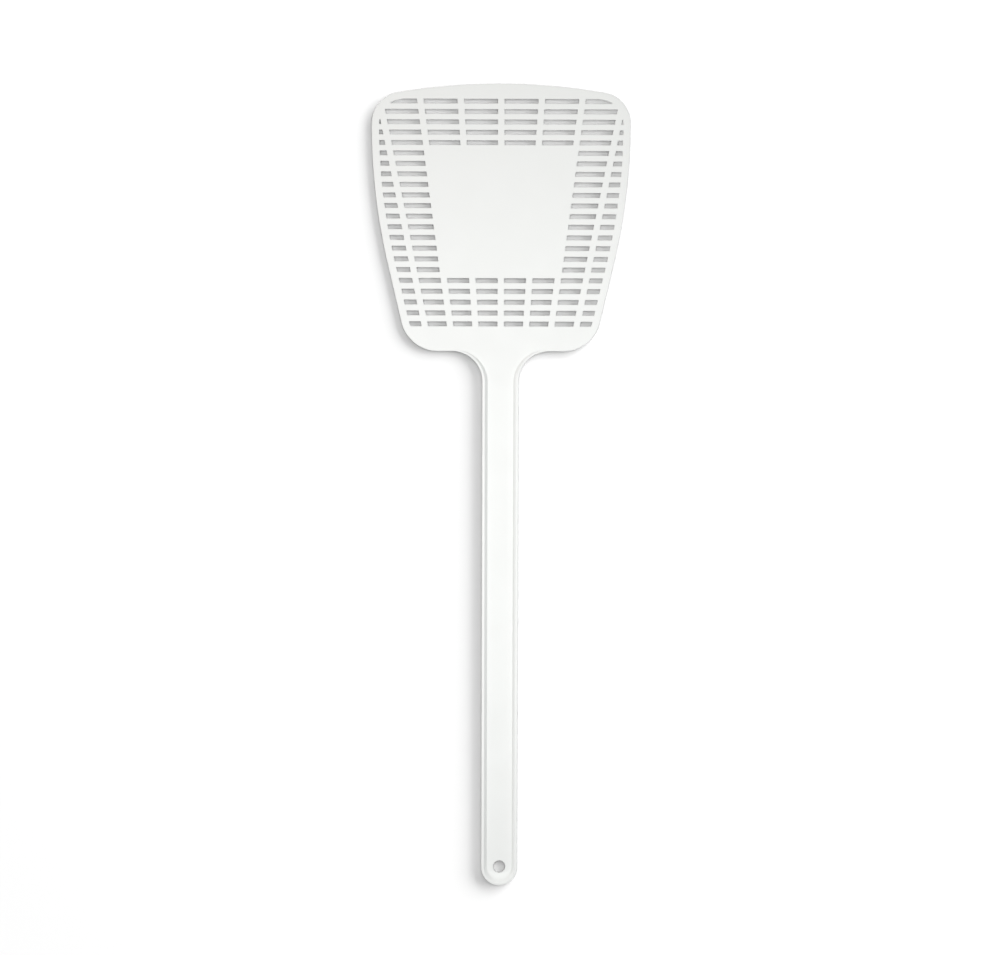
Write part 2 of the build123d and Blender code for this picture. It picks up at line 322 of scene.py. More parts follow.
def face(level, border, holes=(), inner=()):
    """One flat face at a level, inside a border loop and outside the hole loops, with any inner
    points. The triangulation works in millimetres, and keeps the triangles that lie in no hole."""
    loops = [anticlockwise(loop) for loop in (border, *holes)]
    counts = np.cumsum([0] + [len(loop) for loop in loops])
    outlines = [list(range(a, b)) for a, b in zip(counts[:-1], counts[1:])]
    plan = [Vector(point) for loop in (*loops, inner) for point in np.array(loop) / MM]
    found, _, triangles, _, _, owners = delaunay_2d_cdt(plan, [], outlines, 1, FILL_TOLERANCE)
    kept = [list(triangle) for triangle, owner in zip(triangles, owners) if list(owner) == [0]]
    return np.column_stack([np.array(found) * MM, np.full(len(found), level)]), kept


def flats(border, holes=(), back_holes=(), inner=()):
    """The sheet's two faces. Back holes are open in the lower face only, for marks on the back, and
    inner points are for an upper face that is bent afterwards."""
    upper, above = face(sheet_high, border, holes, inner)
    lower, below = face(sheet_low, border, (*holes, *back_holes))
    below = [[corner + len(upper) for corner in triangle] for triangle in below]
    return np.concatenate([upper, lower]), above + below


def closed(points):
    """A loop's points with the first repeated at the end."""
    return np.concatenate([points, points[:1]])


# %% [markdown]
# One function turns patches into a finished piece. It merges the points, turns the faces outwards,
# keeps edges sharper than the smoothing angle crisp, hides the node's CAD part and keeps the piece
# under the node's name. It prints the open edges, which must be none, and the volume.

# %% Make a region's piece
SMOOTH_ANGLE = radians(32)

pieces = {}


def region(node, *patches, bend=lambda vertices: vertices):
    """Joins patches into one closed skin, bends it if asked to, points its faces outwards, and lets
    it stand for a node."""
    offsets = np.cumsum([0] + [len(vertices) for vertices, _ in patches])
    vertices = bend(np.concatenate([vertices for vertices, _ in patches]))
    faces = [[c + shift for c in face] for shift, (_, own) in zip(offsets, patches) for face in own]
    mesh = bpy.data.meshes.new(node + "_skin")
    mesh.from_pydata(vertices.tolist(), [], faces)
    skin = bmesh.new()
    skin.from_mesh(mesh)
    bmesh.ops.remove_doubles(skin, verts=skin.verts, dist=JOIN_DISTANCE)
    bmesh.ops.dissolve_degenerate(skin, edges=skin.edges, dist=JOIN_DISTANCE)
    bmesh.ops.recalc_face_normals(skin, faces=skin.faces)
    open_edges = sum(not edge.is_manifold for edge in skin.edges)
    volume = skin.calc_volume(signed=True)
    skin.to_mesh(mesh)
    skin.free()
    mesh.shade_smooth()
    mesh.set_sharp_from_angle(angle=SMOOTH_ANGLE)
    piece = bpy.data.objects.new(node + "_moulded", mesh)
    bpy.context.scene.collection.objects.link(piece)
    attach(piece, "root")
    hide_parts(node)
    pieces[node] = piece
    print(f"{node}: {len(mesh.polygons)} faces, {open_edges} open edges, {volume / MM**3:.0f} mm3")
    return piece


# %% [markdown]
# ## The slots
#
# The blade bends and lets air through because it is pierced by rows of flat slots. The ribs between
# them fan out from a point low on the handle, so every slot is a slightly leaning parallelogram, and
# the outermost ones stop short of the rim. Each slot is drawn as a convex polygon and its corners
# are rounded in plan. In depth its rim is rounded on both faces, and its walls lean inwards to the
# witness line, as the steel pins that formed them had to.

# %% Slot layout
ROWS = 22
TOP_ROWS = 5
BOTTOM_ROWS = 5
FIRST_ROW_DROP = 9.2 * MM
ROW_PITCH = 5.311 * MM
ROW_PITCH_GAIN = 0.00707 * MM
SLOT_HEIGHT = 3.1 * MM
SLOT_CORNER = 0.5 * MM
RIB_WIDTH = 2.7 * MM
LAST_RIB = 3
PANEL_RIB = 2
FAN_DROP = 318.0 * MM
FAN_STEP = 0.06745
BORDER = 3.5 * MM
EDGE_STRIP = 2.0 * MM
FIRST_EDGE_SLOT_ROW = 2
SLOT_END_STEP = 2.0 * MM
CLOSEST = 0.02 * MM

fan_y = top - FAN_DROP


def row_y(row):
    """Middle of a row: the pitch grows a little with each row down."""
    return top - FIRST_ROW_DROP - row * (ROW_PITCH + ROW_PITCH_GAIN * row)


def rib_x(rib, y):
    """Middle of a rib at height y: the rib's number times the fan's spread at that height."""
    return rib * FAN_STEP * (y - fan_y)


def inner_edge(inset):
    """The right half's edge moved inwards by inset, from the crown's middle to the bottom edge."""
    return right_edge - inset * right_facing


def limit_x(y, inset):
    """Where the edge, moved inwards by inset, lies at height y in the right half."""
    edge = inner_edge(inset)[::-1]
    return np.interp(y, edge[:, 1], edge[:, 0])


def inner_span(y_low, y_high, inset):
    """The stretch of the moved edge between two heights, going up, with its two ends exact."""
    edge = inner_edge(inset)[::-1]
    between = edge[(edge[:, 1] > y_low + JOIN_DISTANCE) & (edge[:, 1] < y_high - JOIN_DISTANCE)]
    ends = [(limit_x(y, inset), y) for y in (y_low, y_high)]
    return np.concatenate([ends[:1], between, ends[1:]])


def slot_end(y_low, y_high):
    """A slot's end along the border: points at even steps of length, close enough for its bend."""
    span = inner_span(y_low, y_high, BORDER)
    run = np.concatenate([[0], np.cumsum(np.linalg.norm(np.diff(span, axis=0), axis=1))])
    station = np.linspace(0, run[-1], 2 + int(run[-1] / SLOT_END_STEP))
    return np.stack([np.interp(station, run, span[:, axis]) for axis in (0, 1)], axis=1)


def slot_corners(row, gap):
    """Corners of one slot in the right half, anticlockwise. Gap 0 lies right of the middle rib, and
    the last gap lies between the outermost rib and the border."""
    y_low = row_y(row) - SLOT_HEIGHT / 2
    y_high = row_y(row) + SLOT_HEIGHT / 2
    half_rib = RIB_WIDTH / 2
    left = [(rib_x(gap, y_high) + half_rib, y_high), (rib_x(gap, y_low) + half_rib, y_low)]
    if limit_x(y_high, BORDER) < rib_x(gap + 1, y_high) - half_rib:
        right = slot_end(y_low, y_high)
    else:
        right = [(rib_x(gap + 1, y_low) - half_rib, y_low), (rib_x(gap + 1, y_high) - half_rib, y_high)]
    return np.concatenate([left, right])


def rounded_loop(corners, radius, steps):
    """A convex loop with its corners rounded in plan. Each corner's arc has its centre where the two
    sides, moved inwards by the radius, cross: corner - radius * (a + b) / (1 + a . b) for the
    outward normals a and b. Returns points and normals, so offsets are point plus distance times
    normal. Where a corner hardly turns, its points fall together and only the first is kept."""
    sides = np.roll(corners, -1, axis=0) - corners
    after = np.stack([sides[:, 1], -sides[:, 0]], axis=1)
    after = after / np.linalg.norm(after, axis=1, keepdims=True)
    before = np.roll(after, 1, axis=0)
    centre = corners - radius * (before + after) / (1 + (before * after).sum(axis=1, keepdims=True))
    begin = np.arctan2(before[:, 1], before[:, 0])
    turn = (np.arctan2(after[:, 1], after[:, 0]) - begin + pi) % (2 * pi) - pi
    angle = begin[:, None] + np.linspace(0, 1, steps) * turn[:, None]
    normals = np.stack([np.cos(angle), np.sin(angle)], axis=-1)
    points = (centre[:, None] + radius * normals).reshape(-1, 2)
    apart = np.linalg.norm(points - np.roll(points, 1, axis=0), axis=1) > CLOSEST
    return points[apart], normals.reshape(-1, 2)[apart]


print("the first slot's corners:", slot_corners(0, 0).round(5).tolist())

# %% [markdown]
# A slot's rim and wall are one more section carried round a closed loop. The outermost ring lies in
# the flat face a hair outside the rounding, so that the face stays flat to the eye right up to where
# it turns down. On a slot the rounding starts a little inside the nominal edge, and on the hanging
# hole, which a hook rubs, a little outside it.

# %% Rims
RIM_ROUNDING = 0.2 * MM
RIM_START = -0.12 * MM
RIM_APRON = 0.1 * MM
SLOT_DRAFT = 0.06 * MM


def rim_section(rounding, start, draft):
    """Offsets out of a hole's nominal edge, and heights, from the face down to the other face: a
    flat apron, a corner whose rounding starts at the given offset, and a wall that leans in by the
    draft to the middle plane."""
    apron = np.array([start + RIM_APRON, sheet_half])
    corner = np.array([start - rounding, sheet_half])
    middle = np.array([start - rounding - draft, 0])
    upper = np.concatenate([[apron], rounded(apron, corner, middle, rounding, 5)])
    both = np.concatenate([upper, [middle], upper[::-1] * np.array([1, -1])])
    return both[:, 0], both[:, 1]


def rim(points, normals, rounding, start, draft):
    """The wall of a hole: point plus offset times normal, at the section's heights. Returns the
    patch and the loop that the flats leave open."""
    offsets, heights = rim_section(rounding, start, draft)
    plan = points[None] + offsets[:, None, None] * normals[None]
    level = np.broadcast_to(middle_z + heights[:, None, None], (*plan.shape[:2], 1))
    vertices = np.concatenate([plan, level], axis=-1).reshape(-1, 3)
    return (vertices, grid_faces(*plan.shape[:2], closed=True).tolist()), plan[0]


def slot_rims(rows, gaps, sides=(1, -1)):
    """Rims and open loops of all slots in some rows and gaps, on the right (1) or left (-1)."""
    patches = []
    loops = []
    for row in rows:
        for gap in gaps:
            if gap < LAST_RIB or row >= FIRST_EDGE_SLOT_ROW:
                points, normals = rounded_loop(slot_corners(row, gap), SLOT_CORNER, 4)
                patch, loop = rim(points, normals, RIM_ROUNDING, RIM_START, SLOT_DRAFT)
                for side in sides:
                    patches.append((patch[0] * np.array([side, 1, 1]), patch[1]))
                    loops.append(loop * np.array([side, 1]))
    return patches, loops


# %% [markdown]
# ## Marks of the mould
#
# The back of such a moulding usually shows where it was pushed out of its mould, as round marks of
# ejector pins a hair below the surface, and where the plastic came in, as a stub cut off a little
# proud. They are real dents and bumps here, because a painted circle would not catch the light.

# %% Pin marks and gate
MARK_STEPS = 28
MARK_APRON = 0.15 * MM
MARK_STEP_WIDTH = 0.06 * MM
PIN_RADIUS = 2.0 * MM
PIN_DEPTH = 0.12 * MM
GATE_RADIUS = 1.3 * MM
GATE_PROUD = 0.3 * MM

turn_angle = np.linspace(0, 2 * pi, MARK_STEPS, endpoint=False)
turn_circle = np.stack([np.cos(turn_angle), np.sin(turn_angle)], axis=1)


def back_mark(centre, radius, depth):
    """A round dent in the lower face, or a stub if the depth is negative: rings at three radii, and
    a flat floor. Returns the patch and the loop that the lower face leaves open."""
    radii = np.array([radius + MARK_APRON, radius, radius - MARK_STEP_WIDTH])
    levels = sheet_low + np.array([0, 0, depth])
    plan = np.array(centre) + radii[:, None, None] * turn_circle
    rings = np.concatenate([plan, np.broadcast_to(levels[:, None, None], (*plan.shape[:2], 1))], axis=-1)
    floor_ring = list(range(2 * MARK_STEPS, 3 * MARK_STEPS))
    faces = grid_faces(*plan.shape[:2], closed=True).tolist()
    return (rings.reshape(-1, 3), [*faces, floor_ring]), plan[0]


def marked(border, marks, holes=(), inner=()):
    """The flats of a region with marks in its back, each given as centre, radius and depth."""
    patches, loops = zip(*[back_mark(*mark) for mark in marks])
    return [flats(border, holes, loops, inner), *patches]


# %% [markdown]
# ## The blade
#
# The lattices are the slotted parts of the sheet, and the panel is the part left plain for printing.
# Around them runs the plain border with its rounded rim. All of them are cut so that a seam runs
# through solid plastic, where two flush faces meet and nothing shows.

# %% Lattices
every_gap = range(LAST_RIB + 1)
side_gaps = range(PANEL_RIB, LAST_RIB + 1)
side_rows = range(TOP_ROWS, ROWS - BOTTOM_ROWS)
bottom_rows = range(ROWS - BOTTOM_ROWS, ROWS)


def slotted(node, border, rows, gaps, sides=(1, -1)):
    """A slotted region: its rims, its two faces with the slots left open, and its seam walls."""
    rims, loops = slot_rims(rows, gaps, sides)
    print(node, "has", len(loops), "slots")
    region(node, flats(border, loops), seam_wall(closed(border)), *rims)


top_side = inner_span(panel_top, top_seam, EDGE_STRIP)
middle_side = inner_span(panel_bottom, panel_top, EDGE_STRIP)
bottom_side = inner_span(bottom_seam, panel_bottom, EDGE_STRIP)
panel_side = np.array([(rib_x(PANEL_RIB, y), y) for y in (panel_top, panel_bottom)])

slotted("top_lattice", np.concatenate([top_side, mirrored(top_side)]), range(TOP_ROWS), every_gap)
slotted("right_lattice", np.concatenate([middle_side, panel_side]), side_rows, side_gaps, (1,))
left_border = mirrored(np.concatenate([middle_side, panel_side]))
slotted("left_lattice", left_border, side_rows, side_gaps, (-1,))
slotted("bottom_lattice", np.concatenate([bottom_side, mirrored(bottom_side)]), bottom_rows, every_gap)

# %% [markdown]
# The panel is the same sheet with no slots. It is wide, so its back gets four pin marks, two on each
# side. The other regions that are marked on the back get theirs along the middle line.

# %% Panel
PANEL_PINS_X = 22 * MM
PANEL_PIN_ROWS = (0.15, 0.85)

panel_border = np.concatenate([panel_side[::-1], mirrored(panel_side[::-1])])
panel_pins = [
    ((side * PANEL_PINS_X, panel_bottom + part * (panel_top - panel_bottom)), PIN_RADIUS, PIN_DEPTH)
    for side in (-1, 1)
    for part in PANEL_PIN_ROWS
]
region("imprint_panel", *marked(panel_border, panel_pins), seam_wall(closed(panel_border)))

# %% [markdown]
# The plain border takes the knocks, so its edge is rounded all the way round. It is cut into a band
# across the top, one down each side and a wide one at the bottom, where the handle's root joins it.
# Each is the edge section carried along its stretch of the outline and capped at its two seams.

# %% Rim of the blade
shoulder_inner = SHOULDER_RADIUS - EDGE_STRIP
top_facing = np.arccos((top_seam - shoulder_centre[1]) / shoulder_inner)
bottom_facing = np.arccos((bottom_seam - heel_centre[1]) / (HEEL_RADIUS - EDGE_STRIP))


def flipped(patch):
    """A patch mirrored to the left half."""
    return patch[0] * np.array([-1, 1, 1]), patch[1]


side_points, side_normals = outline(top_facing, bottom_facing)
inner_ring = side_points - EDGE_STRIP * side_normals
border_patches = [
    carry(side_points, side_normals, EDGE_STRIP, 0),
    seam_wall(inner_ring),
    section_cap(side_points[0], side_normals[0], EDGE_STRIP, 0),
    section_cap(side_points[-1], side_normals[-1], EDGE_STRIP, 0),
]
region("blade_right_border", *border_patches)
region("blade_left_border", *[flipped(patch) for patch in border_patches])

crown_points, crown_normals = outline(0, top_facing)
crown_points = np.concatenate([mirrored(crown_points)[:-1], crown_points])
crown_normals = np.concatenate([mirrored(crown_normals)[:-1], crown_normals])
crown_ring = crown_points - EDGE_STRIP * crown_normals
region(
    "blade_top_band",
    carry(crown_points, crown_normals, EDGE_STRIP, 0),
    flats(crown_ring),
    seam_wall(crown_ring[[0, -1]]),
    section_cap(crown_points[0], crown_normals[0], EDGE_STRIP, 0),
    section_cap(crown_points[-1], crown_normals[-1], EDGE_STRIP, 0),
)

heel_points, heel_normals = outline(bottom_facing, pi)
heel_points = np.concatenate([heel_points, [(neck_foot_x, head_bottom)]])
heel_normals = np.concatenate([heel_normals, [(0, -1)]])
heel_ring = heel_points - EDGE_STRIP * heel_normals
notch = np.array([heel_ring[-1], (neck_foot_x, neck_root_top)])
right_border = np.concatenate([heel_ring, notch[1:]])
heel_patches = [
    carry(heel_points, heel_normals, EDGE_STRIP, 0),
    seam_wall(notch),
    section_cap(heel_points[0], heel_normals[0], EDGE_STRIP, 0),
    section_cap(heel_points[-1], heel_normals[-1], EDGE_STRIP, 0),
]
region(
    "blade_bottom_band",
    *heel_patches,
    *[flipped(patch) for patch in heel_patches],
    flats(np.concatenate([right_border, mirrored(right_border)])),
    seam_wall(np.array([heel_ring[0], heel_ring[0] * np.array([-1, 1])])),
    seam_wall(np.array([notch[1], notch[1] * np.array([-1, 1])])),
)

# %% [markdown]
# ## The neck
#
# Below the blade the sheet narrows to the handle through two round corners, and the handle's rails
# follow them, sinking into the sheet until only the rim is left. The rails stiffen the handle, and
# the fading leaves the root of the blade springy. The rise fades by a smooth step of the angle, so
# that it leaves the handle level and meets the blade level. The line of the rail's foot is an arc of
# its own, with its centre moved sideways, because the rail gets narrower on the way.

# %% Neck rails and web
NECK_STEPS = 33
CREST_NARROWING = 0.4

neck_centre = np.array([neck_foot_x, neck_y])
toe_width = EDGE_STRIP
span_x = neck_radius + rail_width
span_y = neck_radius + toe_width
foot_radius = (span_x**2 + span_y**2) / (2 * span_x)
foot_shift = span_x - foot_radius

neck_angle = np.linspace(0, pi / 2, NECK_STEPS)
neck_normals = np.stack([np.cos(neck_angle), -np.sin(neck_angle)], axis=1)
neck_points = neck_centre - neck_radius * neck_normals
foot_across = foot_shift * np.sin(neck_angle)
foot_reach = foot_shift * np.cos(neck_angle) + np.sqrt(foot_radius**2 - foot_across**2)
neck_width = foot_reach - neck_radius
fade = neck_angle / (pi / 2)
neck_rise = full_rise * (1 - fade**2 * (3 - 2 * fade))
neck_crest = CREST_WIDTH * (1 - CREST_NARROWING * fade)
neck_feet = neck_points - neck_width[:, None] * neck_normals

neck_patches = [
    carry(neck_points, neck_normals, neck_width, neck_rise, neck_crest),
    seam_wall(neck_feet),
    section_cap(neck_points[0], neck_normals[0], rail_width, full_rise),
    section_cap(neck_points[-1], neck_normals[-1], toe_width, 0, neck_crest[-1]),
]
region("neck_right_rail", *neck_patches)
region("neck_left_rail", *[flipped(patch) for patch in neck_patches])

neck_side = np.concatenate([neck_feet, [(neck_foot_x, neck_root_top)]])
neck_border = np.concatenate([neck_side, mirrored(neck_side)])
gate = ((0, neck_y + neck_radius / 2), GATE_RADIUS, -GATE_PROUD)
region("neck_web", *marked(neck_border, [gate]), seam_wall(closed(neck_border)))

# %% [markdown]
# ## The handle
#
# The handle is an I-beam lying on its side: a thin web between two rails, which run round the end
# without a break and frame the tab with its hanging hole. The handle is slightly narrower at its end
# than at the neck. Its rails are straight, so two stations are enough to carry their section.

# %% Handle rails
rail_points = np.array([(handle_half_neck, neck_y), (end_radius, end_y)])
rail_normals = np.array([(1.0, 0.0), (1.0, 0.0)])
rail_patches = [
    carry(rail_points, rail_normals, rail_width, full_rise),
    seam_wall(rail_points - rail_width * rail_normals),
    section_cap(rail_points[0], rail_normals[0], rail_width, full_rise),
    section_cap(rail_points[1], rail_normals[1], rail_width, full_rise),
]
region("handle_right_rail", *rail_patches)
region("handle_left_rail", *[flipped(patch) for patch in rail_patches])

# %% [markdown]
# At the very end the web doesn't meet the rail at a corner. It sweeps up to it in a crescent, widest
# below the hole and gone at the sides. The same function of place bends both the rail and the tab,
# so they still meet.

# %% Sweep at the end
END_STEPS = 49
SWEEP_RISE = 0.9 * MM
SWEEP_REACH = 4.4 * MM
LEAST_BEARING = 1e-3

sweep_foot = end_radius - CREST_WIDTH - WALL_RUN


def swept_up(vertices):
    """Lifts the upper face near the end. With d the distance inwards from the wall's foot and c the
    cosine of the bearing from straight down, the lift is rise * c * (1 - d / (reach * c)) squared.
    Up the wall it fades to nothing at the crest, and past the crest there is none."""
    away = vertices[:, :2] - np.array([0, end_y])
    distance = np.maximum(np.linalg.norm(away, axis=1), JOIN_DISTANCE)
    bearing = np.maximum(-away[:, 1] / distance, LEAST_BEARING)
    share = np.clip(1 - (sweep_foot - distance) / (SWEEP_REACH * bearing), 0, 1)
    up_wall = np.clip(1 - (vertices[:, 2] - sheet_high) / full_rise, 0, 1)
    on_top = (vertices[:, 2] > sheet_high - JOIN_DISTANCE) & (distance < end_radius - CREST_WIDTH / 2)
    lifted = vertices.copy()
    lifted[:, 2] += on_top * SWEEP_RISE * bearing * share**2 * up_wall
    return lifted


end_facing = np.linspace(pi / 2, 3 * pi / 2, END_STEPS)
end_normals = np.stack([np.sin(end_facing), np.cos(end_facing)], axis=1)
end_points = np.array([0, end_y]) + end_radius * end_normals
end_ring = end_points - rail_width * end_normals
region(
    "handle_end_rail",
    carry(end_points, end_normals, rail_width, full_rise),
    seam_wall(end_ring),
    section_cap(end_points[0], end_normals[0], rail_width, full_rise),
    section_cap(end_points[-1], end_normals[-1], rail_width, full_rise),
    bend=swept_up,
)

# %% [markdown]
# The web is the thin floor between the rails, a long flat sheet from the neck to the tab. A row of
# pin marks runs down the middle of its back, at even steps, so that it would leave the mould evenly.

# %% Handle web
HANDLE_PINS = 5

tab_corner = np.array([high("hang_tab", 0), tab_top])
web_side = np.array([tab_corner, (web_half_neck, neck_y)])
web_border = np.concatenate([web_side, mirrored(web_side)])
pin_heights = np.linspace(tab_top, neck_y, HANDLE_PINS + 2)[1:-1]
handle_pins = [((0, y), PIN_RADIUS, PIN_DEPTH) for y in pin_heights]
region("handle_web", *marked(web_border, handle_pins), seam_wall(closed(web_border)))

# %% [markdown]
# The tab is the end of the web with the hanging hole in it. Its upper face is bent by the sweep, and
# a bent face needs points to bend, so rings of extra points are laid in it like a flower bed, except
# where the hole's rim already has its own.

# %% Tab with its hanging hole
HOLE_STEPS = 48
HOLE_ROUNDING = 0.25 * MM
HOLE_START = 0.15 * MM
HOLE_DRAFT = 0.06 * MM
BED_RINGS = 9
BED_SPAN = (0.35, 0.97)
BED_CLEARANCE = 0.15 * MM

hole_angle = np.linspace(0, 2 * pi, HOLE_STEPS, endpoint=False)
hole_normals = np.stack([np.cos(hole_angle), np.sin(hole_angle)], axis=1)
hole_edge = hole_centre + hole_radius * hole_normals
hole_rim, hole_loop = rim(hole_edge, hole_normals, HOLE_ROUNDING, HOLE_START, HOLE_DRAFT)
tab_border = np.concatenate([end_ring, [tab_corner * np.array([-1, 1]), tab_corner]])

bed_shares = np.linspace(*BED_SPAN, BED_RINGS)
bed_reach, bed_facing = np.meshgrid(bed_shares, end_facing[1:-1], indexing="ij")
bed_plan = np.stack([np.sin(bed_facing), np.cos(bed_facing)], axis=-1) * (end_radius - rail_width)
bed = (np.array([0, end_y]) + bed_reach[..., None] * bed_plan).reshape(-1, 2)
loop_reach = np.linalg.norm(hole_loop - hole_centre, axis=1).max()
bed = bed[np.linalg.norm(bed - hole_centre, axis=1) > loop_reach + BED_CLEARANCE]
region(
    "hang_tab",
    flats(tab_border, [hole_loop], inner=bed),
    seam_wall(closed(tab_border)),
    hole_rim,
    bend=swept_up,
)

# %% [markdown]
# ## The plastic
#
# White polypropylene straight from the mould is never one flat colour. Its skin has a fine grain from
# the mould steel, it sinks in slow waves where it cooled unevenly, it carries faint streaks along the
# way it flowed, and a few specks of dust are frozen in. Each of these is an effect of its own, kept
# in a node group with named inputs, so that every finish can place it with its own strength.

# %% Node helpers
def add_node(tree, kind, settings, inputs):
    """Adds a shader node, sets its properties, and sets or links its inputs by name or number."""
    node = tree.nodes.new("ShaderNode" + kind)
    for name, value in settings.items():
        setattr(node, name, value)
    for key, value in inputs.items():
        if isinstance(value, bpy.types.NodeSocket):
            tree.links.new(value, node.inputs[key])
        else:
            node.inputs[key].default_value = value
    return node


def maths(tree, operation, *values):
    """One Math node's result."""
    return add_node(tree, "Math", {"operation": operation}, dict(enumerate(values))).outputs[0]


def mixed_colour(tree, factor, first, second):
    """One colour Mix node's result: sockets 6 and 7 are its two colours, and output 2 the mix."""
    mix = add_node(tree, "Mix", {"data_type": "RGBA"}, {"Factor": factor, 6: first, 7: second})
    return mix.outputs[2]


def effect(name, inputs, output, kind):
    """A node group with named inputs and one output. Returns it, its inputs and its exit socket."""
    tree = bpy.data.node_groups.new(name, "ShaderNodeTree")
    for label, (socket_type, default) in inputs.items():
        socket = tree.interface.new_socket(label, in_out="INPUT", socket_type=socket_type)
        socket.default_value = default
    tree.interface.new_socket(output, in_out="OUTPUT", socket_type=kind)
    entry = tree.nodes.new("NodeGroupInput")
    leave = tree.nodes.new("NodeGroupOutput")
    return tree, entry.outputs, leave.inputs[0]


def place_point(tree, stretch=(1, 1, 1)):
    """Object coordinates in metres, scaled by an amount along each axis."""
    place = add_node(tree, "TexCoord", {}, {}).outputs["Object"]
    return add_node(tree, "Mapping", {}, {"Vector": place, "Scale": stretch}).outputs["Vector"]


FLOAT = "NodeSocketFloat"
COLOUR = "NodeSocketColor"

# %% [markdown]
# Heights are worked out in metres, so that a bump has its real slope. The grain is a fine noise with
# a finer one on top. The waves are one slow noise. The streaks are the same idea stretched along the
# handle, because plastic flows the long way.

# %% Surface effects
FINER = 4.3
FINER_SHARE = 0.35
STREAK_STRETCH = (1.0, 0.03, 1.0)

grain, given, leave = effect(
    "steel_grain", {"Scale": (FLOAT, 1100.0), "Depth": (FLOAT, 2e-6)}, "Height", FLOAT
)
point = place_point(grain)
coarse = add_node(grain, "TexNoise", {}, {"Vector": point, "Scale": given["Scale"], "Detail": 2.0})
finer_scale = maths(grain, "MULTIPLY", given["Scale"], FINER)
fine = add_node(grain, "TexNoise", {}, {"Vector": point, "Scale": finer_scale, "Detail": 1.0})
both = maths(grain, "MULTIPLY_ADD", fine.outputs["Fac"], FINER_SHARE, coarse.outputs["Fac"])
grain.links.new(maths(grain, "MULTIPLY", both, given["Depth"]), leave)

waves, given, leave = effect(
    "cooling_waves", {"Scale": (FLOAT, 30.0), "Depth": (FLOAT, 3e-5)}, "Height", FLOAT
)
slow_noise = {"Vector": place_point(waves), "Scale": given["Scale"], "Detail": 1.0}
slow = add_node(waves, "TexNoise", {}, slow_noise)
waves.links.new(maths(waves, "MULTIPLY", slow.outputs["Fac"], given["Depth"]), leave)

streaks, given, leave = effect(
    "flow_streaks", {"Scale": (FLOAT, 700.0), "Depth": (FLOAT, 1.5e-6)}, "Height", FLOAT
)
long_noise = {"Vector": place_point(streaks, STREAK_STRETCH), "Scale": given["Scale"], "Detail": 2.0}
drawn_out = add_node(streaks, "TexNoise", {}, long_noise)
streaks.links.new(maths(streaks, "MULTIPLY", drawn_out.outputs["Fac"], given["Depth"]), leave)
print("height effects:", grain.name, waves.name, streaks.name)

# %% [markdown]
# The colour drifts between two near whites where the resin mixed unevenly. Specks are the middles of
# a few cells of a cell pattern: a cell shows one only if its own random value is high enough. Thin
# edges are painted lighter than the flats: a painted highlight that stands in for light glowing
# through the thin plastic and catching the rims. The same mask makes the edges glossier, as the tool
# polishes them. How much a surface is edge is read from its normal: one minus its upright part,
# counted from a start that leaves out the rails' sloping walls.

# %% Colour effects
tone, given, leave = effect(
    "resin_tone",
    {"Scale": (FLOAT, 14.0), "Light": (COLOUR, (1, 1, 1, 1)), "Deep": (COLOUR, (1, 1, 1, 1))},
    "Color",
    COLOUR,
)
drift_noise = {"Vector": place_point(tone), "Scale": given["Scale"], "Detail": 4.0}
drift = add_node(tone, "TexNoise", {}, drift_noise)
tone.links.new(mixed_colour(tone, drift.outputs["Fac"], given["Light"], given["Deep"]), leave)

specks, given, leave = effect(
    "dust_specks", {"Scale": (FLOAT, 70.0), "Size": (FLOAT, 0.02), "Share": (FLOAT, 0.2)}, "Mask", FLOAT
)
cells = add_node(specks, "TexVoronoi", {}, {"Vector": place_point(specks), "Scale": given["Scale"]})
near_middle = maths(specks, "LESS_THAN", cells.outputs["Distance"], given["Size"])
cell_value = add_node(specks, "SeparateColor", {}, {"Color": cells.outputs["Color"]}).outputs["Red"]
chosen = maths(specks, "LESS_THAN", cell_value, given["Share"])
specks.links.new(maths(specks, "MULTIPLY", near_middle, chosen), leave)

edges, given, leave = effect(
    "thin_edges", {"Start": (FLOAT, 0.45), "Sharpness": (FLOAT, 2.5)}, "Mask", FLOAT
)
facing = add_node(edges, "TexCoord", {}, {}).outputs["Normal"]
upright = maths(edges, "ABSOLUTE", add_node(edges, "SeparateXYZ", {}, {"Vector": facing}).outputs["Z"])
slant = maths(edges, "SUBTRACT", 1.0, upright)
beyond = maths(edges, "MAXIMUM", maths(edges, "SUBTRACT", slant, given["Start"]), 0.0)
strength = maths(edges, "MULTIPLY", beyond, given["Sharpness"])
edges.links.new(maths(edges, "MINIMUM", strength, 1.0), leave)

# %% [markdown]
# Gloss varies too. Hands and flat surfaces rub the skin in soft patches, a little smoother here and
# duller there, and the edges stay the glossiest. The effect takes the roughness of its two extremes.

# %% Gloss effect
NOISE_SPAN = (0.3, 0.7)
EDGE_GLOSS = 0.08

gloss, given, leave = effect(
    "rubbed_patches",
    {"Scale": (FLOAT, 90.0), "Smooth": (FLOAT, 0.32), "Dull": (FLOAT, 0.42), "Edge": (FLOAT, 0.0)},
    "Roughness",
    FLOAT,
)
patch_noise = {"Vector": place_point(gloss), "Scale": given["Scale"], "Detail": 5.0}
patchy = add_node(gloss, "TexNoise", {}, patch_noise)
spread = {
    "Value": patchy.outputs["Fac"],
    "From Min": NOISE_SPAN[0],
    "From Max": NOISE_SPAN[1],
    "To Min": given["Smooth"],
    "To Max": given["Dull"],
}
ranged = add_node(gloss, "MapRange", {}, spread).outputs["Result"]
polished = maths(gloss, "MULTIPLY_ADD", given["Edge"], -EDGE_GLOSS, ranged)
gloss.links.new(polished, leave)
print("colour and gloss effects:", tone.name, specks.name, edges.name, gloss.name)

